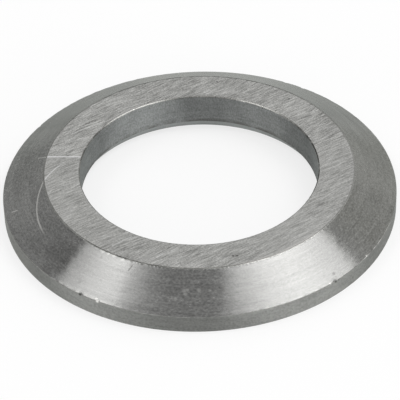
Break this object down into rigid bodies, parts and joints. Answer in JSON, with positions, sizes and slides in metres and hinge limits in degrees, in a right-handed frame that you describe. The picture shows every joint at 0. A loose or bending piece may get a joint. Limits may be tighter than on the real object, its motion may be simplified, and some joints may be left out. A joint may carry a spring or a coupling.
{
  "type": "bearing shim",
  "caption": "Steel ring with a straight rim, a conical shoulder and a flat ground face, slid over a shaft to space or seat a bearing.",
  "frame": {"origin": "centre of the base face, on the bore's axis", "axes": "+Z along the bore's axis, from the base face towards the smaller seating face"},
  "size_m": [0.05, 0.05, 0.0054],
  "materials": {
    "steel": "turned, with ground flat faces"
  },
  "bodies": {
    "root": {"shim_ring": "steel"}
  },
  "joints": []
}
